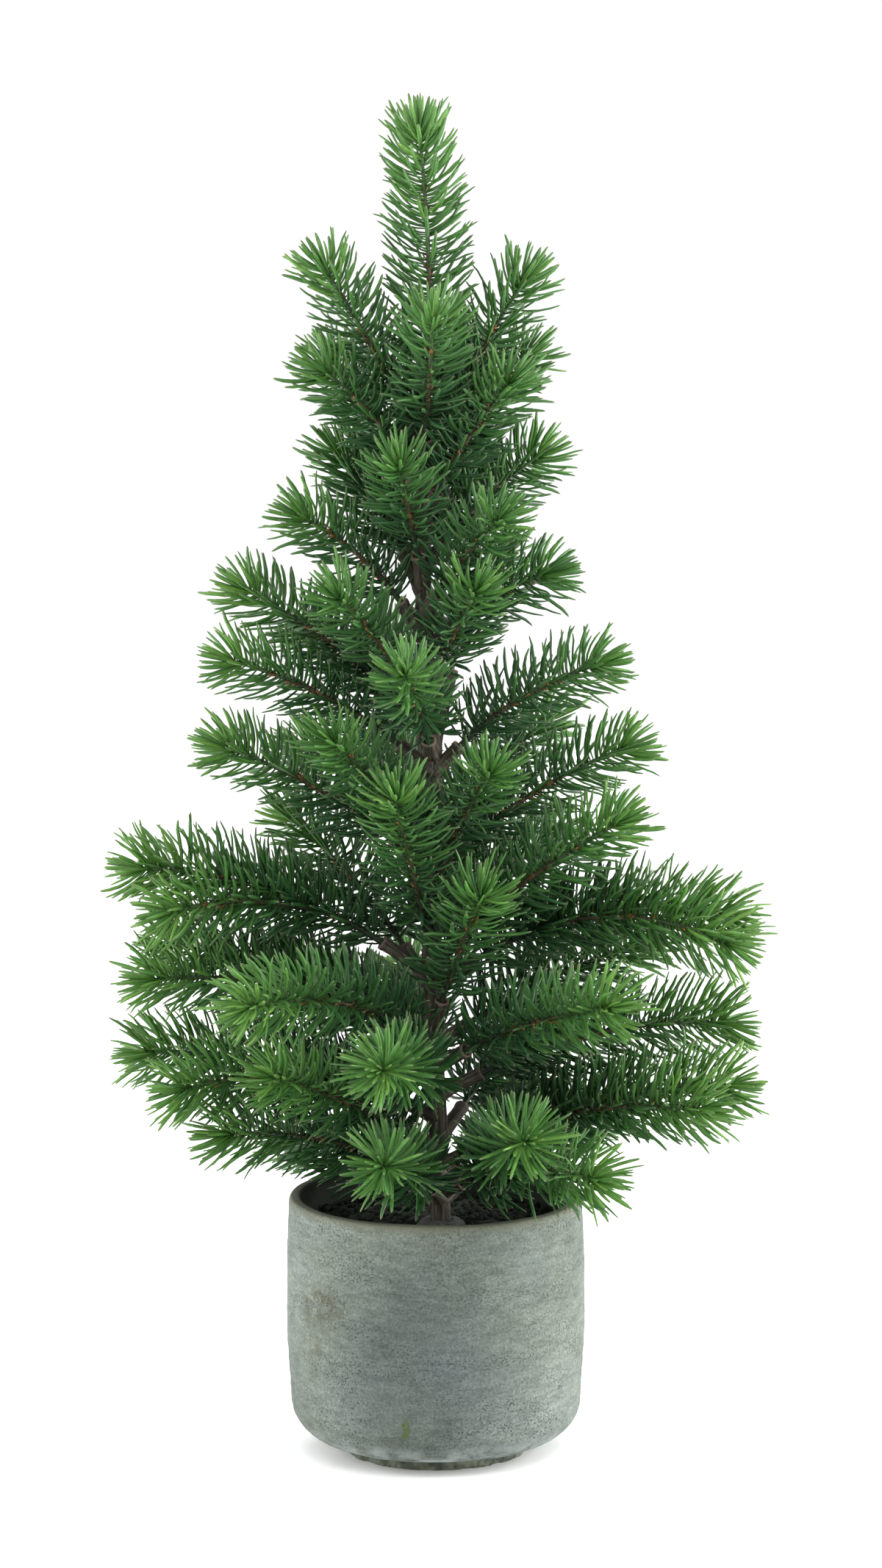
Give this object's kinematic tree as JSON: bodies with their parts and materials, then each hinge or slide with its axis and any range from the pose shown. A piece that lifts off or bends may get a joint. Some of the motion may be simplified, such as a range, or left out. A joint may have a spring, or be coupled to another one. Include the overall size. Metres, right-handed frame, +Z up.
{
  "type": "artificial tabletop tree",
  "caption": "Small artificial fir tree: bendable green needle sprigs plugged into brown sockets on a slim bark-textured trunk, set in a round cement pot.",
  "frame": {"origin": "centre of the foot's underside, on the surface it stands on", "axes": "+Z up along the trunk, -Y towards the front of the tree, +X to its right seen from the front"},
  "size_m": [0.2908, 0.2421, 0.6002],
  "materials": {
    "cement": "matte cast cement, pitted and faintly streaked",
    "mortar": "rough grey mortar",
    "moss": "dark dry moss and soil crumbs",
    "bark": "grey-brown moulded bark",
    "steel": "plain steel rod",
    "needles": "satin moulded green needles"
  },
  "bodies": {
    "potted_trunk": {"pot": "cement", "mortar_fill": "mortar", "moss_topping": "moss", "trunk": "bark", "trunk_core_rod": "steel", "upper_sockets": "bark", "middle_sockets": "bark", "lower_sockets": "bark"},
    "upper_sprig_01": {"upper_sprig_01": "needles"},
    "upper_sprig_02": {"upper_sprig_02": "needles"},
    "upper_sprig_03": {"upper_sprig_03": "needles"},
    "upper_sprig_04": {"upper_sprig_04": "needles"},
    "upper_sprig_05": {"upper_sprig_05": "needles"},
    "upper_sprig_06": {"upper_sprig_06": "needles"},
    "upper_sprig_07": {"upper_sprig_07": "needles"},
    "upper_sprig_08": {"upper_sprig_08": "needles"},
    "upper_sprig_09": {"upper_sprig_09": "needles"},
    "upper_sprig_10": {"upper_sprig_10": "needles"},
    "upper_sprig_11": {"upper_sprig_11": "needles"},
    "upper_sprig_12": {"upper_sprig_12": "needles"},
    "upper_sprig_13": {"upper_sprig_13": "needles"},
    "upper_sprig_14": {"upper_sprig_14": "needles"},
    "upper_sprig_15": {"upper_sprig_15": "needles"},
    "middle_sprig_01": {"middle_sprig_01": "needles"},
    "middle_sprig_02": {"middle_sprig_02": "needles"},
    "middle_sprig_03": {"middle_sprig_03": "needles"},
    "middle_sprig_04": {"middle_sprig_04": "needles"},
    "middle_sprig_05": {"middle_sprig_05": "needles"},
    "middle_sprig_06": {"middle_sprig_06": "needles"},
    "middle_sprig_07": {"middle_sprig_07": "needles"},
    "middle_sprig_08": {"middle_sprig_08": "needles"},
    "middle_sprig_09": {"middle_sprig_09": "needles"},
    "middle_sprig_10": {"middle_sprig_10": "needles"},
    "middle_sprig_11": {"middle_sprig_11": "needles"},
    "middle_sprig_12": {"middle_sprig_12": "needles"},
    "middle_sprig_13": {"middle_sprig_13": "needles"},
    "middle_sprig_14": {"middle_sprig_14": "needles"},
    "lower_sprig_01": {"lower_sprig_01": "needles"},
    "lower_sprig_02": {"lower_sprig_02": "needles"},
    "lower_sprig_03": {"lower_sprig_03": "needles"},
    "lower_sprig_04": {"lower_sprig_04": "needles"},
    "lower_sprig_05": {"lower_sprig_05": "needles"},
    "lower_sprig_06": {"lower_sprig_06": "needles"},
    "lower_sprig_07": {"lower_sprig_07": "needles"},
    "lower_sprig_08": {"lower_sprig_08": "needles"},
    "lower_sprig_09": {"lower_sprig_09": "needles"},
    "lower_sprig_10": {"lower_sprig_10": "needles"},
    "lower_sprig_11": {"lower_sprig_11": "needles"},
    "lower_sprig_12": {"lower_sprig_12": "needles"},
    "lower_sprig_13": {"lower_sprig_13": "needles"},
    "lower_sprig_14": {"lower_sprig_14": "needles"},
    "lower_sprig_15": {"lower_sprig_15": "needles"},
    "lower_sprig_16": {"lower_sprig_16": "needles"},
    "lower_sprig_17": {"lower_sprig_17": "needles"},
    "lower_sprig_18": {"lower_sprig_18": "needles"},
    "lower_sprig_19": {"lower_sprig_19": "needles"},
    "lower_sprig_20": {"lower_sprig_20": "needles"},
    "lower_sprig_21": {"lower_sprig_21": "needles"},
    "lower_sprig_22": {"lower_sprig_22": "needles"},
    "lower_sprig_23": {"lower_sprig_23": "needles"}
  },
  "joints": [
    {"name": "upper_sprig_01_bend", "type": "hinge", "parent": "potted_trunk", "child": "upper_sprig_01", "pos_m": [-0.00448, 0, 0.45948], "axis": [0, 1, 0], "range_deg": [-8, 8]},
    {"name": "upper_sprig_02_bend", "type": "hinge", "parent": "potted_trunk", "child": "upper_sprig_02", "pos_m": [-0.01267, -0.00133, 0.46173], "axis": [-0.1736, 0.9848, 0], "range_deg": [-15, 15]},
    {"name": "upper_sprig_03_bend", "type": "hinge", "parent": "potted_trunk", "child": "upper_sprig_03", "pos_m": [0.00343, 0.00184, 0.45737], "axis": [0.2079, -0.9781, 0], "range_deg": [-15, 15]},
    {"name": "upper_sprig_04_bend", "type": "hinge", "parent": "potted_trunk", "child": "upper_sprig_04", "pos_m": [-0.00448, -0.00796, 0.45127], "axis": [-0.9962, -0.0872, 0], "range_deg": [-15, 15]},
    {"name": "upper_sprig_05_bend", "type": "hinge", "parent": "potted_trunk", "child": "upper_sprig_05", "pos_m": [-0.01229, -0.00248, 0.43956], "axis": [-0.342, 0.9397, 0], "range_deg": [-15, 10]},
    {"name": "upper_sprig_06_bend", "type": "hinge", "parent": "potted_trunk", "child": "upper_sprig_06", "pos_m": [-0.01332, 0.00604, 0.43669], "axis": [0.6157, 0.788, 0], "range_deg": [-15, 15]},
    {"name": "upper_sprig_07_bend", "type": "hinge", "parent": "potted_trunk", "child": "upper_sprig_07", "pos_m": [0.00138, 0.00437, 0.43429], "axis": [0.5299, -0.848, 0], "range_deg": [-15, 12]},
    {"name": "upper_sprig_08_bend", "type": "hinge", "parent": "potted_trunk", "child": "upper_sprig_08", "pos_m": [-0.00012, -0.00378, 0.42669], "axis": [-0.5592, -0.829, 0], "range_deg": [-15, 15]},
    {"name": "upper_sprig_09_bend", "type": "hinge", "parent": "potted_trunk", "child": "upper_sprig_09", "pos_m": [-0.01362, 0.00619, 0.39934], "axis": [0.6157, 0.788, 0], "range_deg": [-15, 15]},
    {"name": "upper_sprig_10_bend", "type": "hinge", "parent": "potted_trunk", "child": "upper_sprig_10", "pos_m": [-0.00757, -0.00659, 0.39969], "axis": [-0.9563, 0.2924, 0], "range_deg": [-15, 15]},
    {"name": "upper_sprig_11_bend", "type": "hinge", "parent": "potted_trunk", "child": "upper_sprig_11", "pos_m": [0.00429, 0.00134, 0.406], "axis": [0.1392, -0.9903, 0], "range_deg": [-15, 15]},
    {"name": "upper_sprig_12_bend", "type": "hinge", "parent": "potted_trunk", "child": "upper_sprig_12", "pos_m": [0.00002, -0.00601, 0.38255], "axis": [-0.7431, -0.6691, 0], "range_deg": [-15, 15]},
    {"name": "upper_sprig_13_bend", "type": "hinge", "parent": "potted_trunk", "child": "upper_sprig_13", "pos_m": [-0.00555, 0.01062, 0.39117], "axis": [0.9994, 0.0349, 0], "range_deg": [-15, 15]},
    {"name": "upper_sprig_14_bend", "type": "hinge", "parent": "potted_trunk", "child": "upper_sprig_14", "pos_m": [-0.01453, -0.00142, 0.37851], "axis": [-0.1045, 0.9945, 0], "range_deg": [-15, 15]},
    {"name": "upper_sprig_15_bend", "type": "hinge", "parent": "potted_trunk", "child": "upper_sprig_15", "pos_m": [0.0076, -0.00175, 0.36904], "axis": [-0.1045, -0.9945, 0], "range_deg": [-15, 15]},
    {"name": "middle_sprig_01_bend", "type": "hinge", "parent": "potted_trunk", "child": "middle_sprig_01", "pos_m": [0.00009, -0.00633, 0.34906], "axis": [-0.866, -0.5, 0], "range_deg": [-15, 12]},
    {"name": "middle_sprig_02_bend", "type": "hinge", "parent": "potted_trunk", "child": "middle_sprig_02", "pos_m": [-0.00945, -0.00647, 0.34111], "axis": [-0.6947, 0.7193, 0], "range_deg": [-15, 15]},
    {"name": "middle_sprig_03_bend", "type": "hinge", "parent": "potted_trunk", "child": "middle_sprig_03", "pos_m": [-0.01594, 0.00203, 0.33638], "axis": [0.1392, 0.9903, 0], "range_deg": [-15, 15]},
    {"name": "middle_sprig_04_bend", "type": "hinge", "parent": "potted_trunk", "child": "middle_sprig_04", "pos_m": [-0.01515, -0.00072, 0.31589], "axis": [-0.0872, 0.9962, 0], "range_deg": [-15, 15]},
    {"name": "middle_sprig_05_bend", "type": "hinge", "parent": "potted_trunk", "child": "middle_sprig_05", "pos_m": [-0.00306, -0.00856, 0.31908], "axis": [-0.9848, 0.1736, 0], "range_deg": [-15, 15]},
    {"name": "middle_sprig_06_bend", "type": "hinge", "parent": "potted_trunk", "child": "middle_sprig_06", "pos_m": [0.00968, -0.00061, 0.31515], "axis": [-0.1045, -0.9945, 0], "range_deg": [-15, 15]},
    {"name": "middle_sprig_07_bend", "type": "hinge", "parent": "potted_trunk", "child": "middle_sprig_07", "pos_m": [0.00646, 0.0099, 0.3473], "axis": [0.766, -0.6428, 0], "range_deg": [-15, 15]},
    {"name": "middle_sprig_08_bend", "type": "hinge", "parent": "potted_trunk", "child": "middle_sprig_08", "pos_m": [-0.00557, 0.01432, 0.3165], "axis": [0.9511, 0.309, 0], "range_deg": [-15, 15]},
    {"name": "middle_sprig_09_bend", "type": "hinge", "parent": "potted_trunk", "child": "middle_sprig_09", "pos_m": [-0.01805, 0.00095, 0.27318], "axis": [0, 1, 0], "range_deg": [-15, 15]},
    {"name": "middle_sprig_10_bend", "type": "hinge", "parent": "potted_trunk", "child": "middle_sprig_10", "pos_m": [-0.00821, -0.00582, 0.27603], "axis": [-0.7431, 0.6691, 0], "range_deg": [-15, 15]},
    {"name": "middle_sprig_11_bend", "type": "hinge", "parent": "potted_trunk", "child": "middle_sprig_11", "pos_m": [0.01124, 0.00265, 0.27038], "axis": [0.1219, -0.9925, 0], "range_deg": [-15, 15]},
    {"name": "middle_sprig_12_bend", "type": "hinge", "parent": "potted_trunk", "child": "middle_sprig_12", "pos_m": [0.0012, -0.00469, 0.2633], "axis": [-0.8387, -0.5446, 0], "range_deg": [-15, 15]},
    {"name": "middle_sprig_13_bend", "type": "hinge", "parent": "potted_trunk", "child": "middle_sprig_13", "pos_m": [0.0081, 0.01313, 0.28039], "axis": [0.766, -0.6428, 0], "range_deg": [-15, 15]},
    {"name": "middle_sprig_14_bend", "type": "hinge", "parent": "potted_trunk", "child": "middle_sprig_14", "pos_m": [-0.00505, 0.0159, 0.26372], "axis": [0.9848, 0.1736, 0], "range_deg": [-15, 15]},
    {"name": "lower_sprig_01_bend", "type": "hinge", "parent": "potted_trunk", "child": "lower_sprig_01", "pos_m": [-0.00406, -0.00658, 0.23356], "axis": [-0.9511, 0.309, 0], "range_deg": [-15, 15]},
    {"name": "lower_sprig_02_bend", "type": "hinge", "parent": "potted_trunk", "child": "lower_sprig_02", "pos_m": [-0.02274, -0.00166, 0.22826], "axis": [-0.0872, 0.9962, 0], "range_deg": [-15, 15]},
    {"name": "lower_sprig_03_bend", "type": "hinge", "parent": "potted_trunk", "child": "lower_sprig_03", "pos_m": [-0.01338, 0.01071, 0.22391], "axis": [0.6691, 0.7431, 0], "range_deg": [-15, 15]},
    {"name": "lower_sprig_04_bend", "type": "hinge", "parent": "potted_trunk", "child": "lower_sprig_04", "pos_m": [0.01708, -0.00059, 0.22058], "axis": [-0.0349, -0.9994, 0], "range_deg": [-15, 15]},
    {"name": "lower_sprig_05_bend", "type": "hinge", "parent": "potted_trunk", "child": "lower_sprig_05", "pos_m": [0.01053, -0.00421, 0.23108], "axis": [-0.342, -0.9397, 0], "range_deg": [-15, 15]},
    {"name": "lower_sprig_06_bend", "type": "hinge", "parent": "potted_trunk", "child": "lower_sprig_06", "pos_m": [0.00231, -0.00609, 0.20269], "axis": [-0.8829, -0.4695, 0], "range_deg": [-15, 15]},
    {"name": "lower_sprig_07_bend", "type": "hinge", "parent": "potted_trunk", "child": "lower_sprig_07", "pos_m": [0.00055, 0.01865, 0.21875], "axis": [0.9945, -0.1045, 0], "range_deg": [-15, 15]},
    {"name": "lower_sprig_08_bend", "type": "hinge", "parent": "potted_trunk", "child": "lower_sprig_08", "pos_m": [-0.02022, 0.00257, 0.19456], "axis": [0.1392, 0.9903, 0], "range_deg": [-15, 15]},
    {"name": "lower_sprig_09_bend", "type": "hinge", "parent": "potted_trunk", "child": "lower_sprig_09", "pos_m": [-0.00756, -0.00768, 0.18699], "axis": [-0.7193, 0.6947, 0], "range_deg": [-15, 15]},
    {"name": "lower_sprig_10_bend", "type": "hinge", "parent": "potted_trunk", "child": "lower_sprig_10", "pos_m": [0.01423, 0.00695, 0.19068], "axis": [0.4384, -0.8988, 0], "range_deg": [-15, 15]},
    {"name": "lower_sprig_11_bend", "type": "hinge", "parent": "potted_trunk", "child": "lower_sprig_11", "pos_m": [0.01247, -0.01079, 0.18169], "axis": [-0.6428, -0.766, 0], "range_deg": [-15, 15]},
    {"name": "lower_sprig_12_bend", "type": "hinge", "parent": "potted_trunk", "child": "lower_sprig_12", "pos_m": [0.01893, 0.00088, 0.16899], "axis": [0.0698, -0.9976, 0], "range_deg": [-15, 15]},
    {"name": "lower_sprig_13_bend", "type": "hinge", "parent": "potted_trunk", "child": "lower_sprig_13", "pos_m": [-0.01772, 0.00015, 0.15834], "axis": [0.0349, 0.9994, 0], "range_deg": [-10, 15]},
    {"name": "lower_sprig_14_bend", "type": "hinge", "parent": "potted_trunk", "child": "lower_sprig_14", "pos_m": [-0.00217, -0.01073, 0.16731], "axis": [-0.9703, 0.2419, 0], "range_deg": [-15, 15]},
    {"name": "lower_sprig_15_bend", "type": "hinge", "parent": "potted_trunk", "child": "lower_sprig_15", "pos_m": [-0.00886, -0.00951, 0.14274], "axis": [-0.6691, 0.7431, 0], "range_deg": [-15, 15]},
    {"name": "lower_sprig_16_bend", "type": "hinge", "parent": "potted_trunk", "child": "lower_sprig_16", "pos_m": [-0.00198, 0.01885, 0.16725], "axis": [0.9903, 0.1392, 0], "range_deg": [-15, 15]},
    {"name": "lower_sprig_17_bend", "type": "hinge", "parent": "potted_trunk", "child": "lower_sprig_17", "pos_m": [0.01127, 0.01693, 0.15056], "axis": [0.866, -0.5, 0], "range_deg": [-15, 15]},
    {"name": "lower_sprig_18_bend", "type": "hinge", "parent": "potted_trunk", "child": "lower_sprig_18", "pos_m": [-0.01214, -0.00336, 0.12775], "axis": [-0.2419, 0.9703, 0], "range_deg": [-12, 10]},
    {"name": "lower_sprig_19_bend", "type": "hinge", "parent": "potted_trunk", "child": "lower_sprig_19", "pos_m": [0.02141, -0.00278, 0.13856], "axis": [-0.1392, -0.9903, 0], "range_deg": [-15, 15]},
    {"name": "lower_sprig_20_bend", "type": "hinge", "parent": "potted_trunk", "child": "lower_sprig_20", "pos_m": [0.01149, -0.01051, 0.12206], "axis": [-0.7547, -0.6561, 0], "range_deg": [-9, 15]},
    {"name": "lower_sprig_21_bend", "type": "hinge", "parent": "potted_trunk", "child": "lower_sprig_21", "pos_m": [-0.00145, -0.01101, 0.11934], "axis": [-0.9511, 0.309, 0], "range_deg": [-15, 15]},
    {"name": "lower_sprig_22_bend", "type": "hinge", "parent": "potted_trunk", "child": "lower_sprig_22", "pos_m": [0.01537, 0.01058, 0.12011], "axis": [0.6157, -0.788, 0], "range_deg": [-15, 15]},
    {"name": "lower_sprig_23_bend", "type": "hinge", "parent": "potted_trunk", "child": "lower_sprig_23", "pos_m": [-0.00914, 0.00701, 0.1159], "axis": [0.5, 0.866, 0], "range_deg": [-2, 15]}
  ]
}
